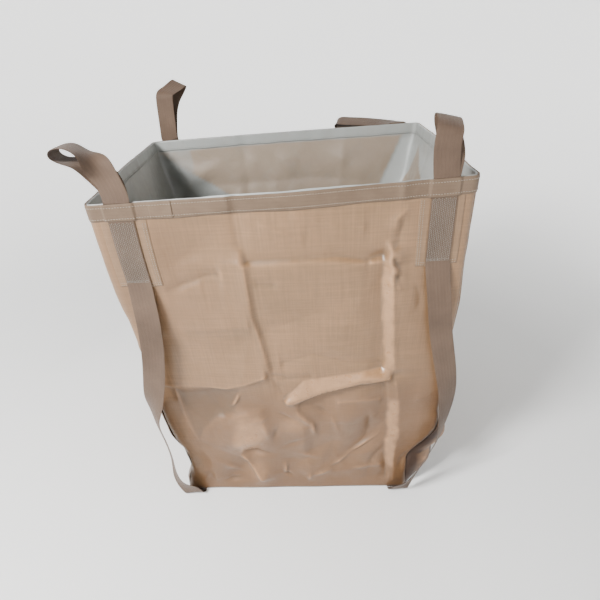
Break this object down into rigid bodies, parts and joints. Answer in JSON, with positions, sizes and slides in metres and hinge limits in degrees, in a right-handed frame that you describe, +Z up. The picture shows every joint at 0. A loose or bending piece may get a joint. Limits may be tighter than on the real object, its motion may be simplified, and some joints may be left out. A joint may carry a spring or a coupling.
{
  "type": "bulk bag",
  "caption": "Empty open-top woven bulk bag with a film liner, a bound rim, straps running under the base and hinged webbing lifting loops at the corners.",
  "frame": {"origin": "on the floor under the middle of the base", "axes": "+Z up out of the mouth, -Y to the front wall, +X to the right"},
  "size_m": [1.1689, 1.1637, 1.4166],
  "materials": {
    "outer_fabric": "coated woven tape fabric, slight sheen",
    "liner_film": "milky translucent film, soft gloss",
    "webbing": "ribbed woven webbing, matt",
    "rim_binding": "woven binding tape, matt",
    "thread": "white stitching thread"
  },
  "bodies": {
    "bag": {"front_panel": "outer_fabric", "right_panel": "outer_fabric", "back_panel": "outer_fabric", "left_panel": "outer_fabric", "base_panel": "outer_fabric", "liner_wall": "liner_film", "liner_base": "liner_film", "liner_hem": "liner_film", "rim_tape": "rim_binding", "tape_lap": "rim_binding", "rim_stitching": "thread", "corner_seam_fl": "outer_fabric", "corner_seam_fr": "outer_fabric", "corner_seam_br": "outer_fabric", "corner_seam_bl": "outer_fabric", "base_seam": "thread", "patch_fl": "outer_fabric", "patch_fr": "outer_fabric", "patch_br": "outer_fabric", "patch_bl": "outer_fabric", "tail_fl": "webbing", "tail_fr": "webbing", "tail_br": "webbing", "tail_bl": "webbing", "strap_fl": "webbing", "strap_fr": "webbing", "strap_br": "webbing", "strap_bl": "webbing", "base_belt_left": "webbing", "base_belt_right": "webbing", "stitching_fl": "thread", "stitching_fr": "thread", "stitching_br": "thread", "stitching_bl": "thread"},
    "lifting_loop_fl": {"loop_fl": "webbing"},
    "lifting_loop_fr": {"loop_fr": "webbing"},
    "lifting_loop_br": {"loop_br": "webbing"},
    "lifting_loop_bl": {"loop_bl": "webbing"}
  },
  "joints": [
    {"name": "loop_fold_fl", "type": "hinge", "parent": "bag", "child": "lifting_loop_fl", "pos_m": [-0.436, -0.4863, 1.1571], "axis": [1, 0, 0], "range_deg": [-66, 108]},
    {"name": "loop_fold_fr", "type": "hinge", "parent": "bag", "child": "lifting_loop_fr", "pos_m": [0.428, -0.4732, 1.1868], "axis": [1, 0, 0], "range_deg": [-88, 108]},
    {"name": "loop_fold_br", "type": "hinge", "parent": "bag", "child": "lifting_loop_br", "pos_m": [0.4944, 0.4856, 1.1873], "axis": [1, 0, 0], "range_deg": [-22, 150]},
    {"name": "loop_fold_bl", "type": "hinge", "parent": "bag", "child": "lifting_loop_bl", "pos_m": [-0.5092, 0.4786, 1.1563], "axis": [1, 0, 0], "range_deg": [-108, 88]}
  ]
}
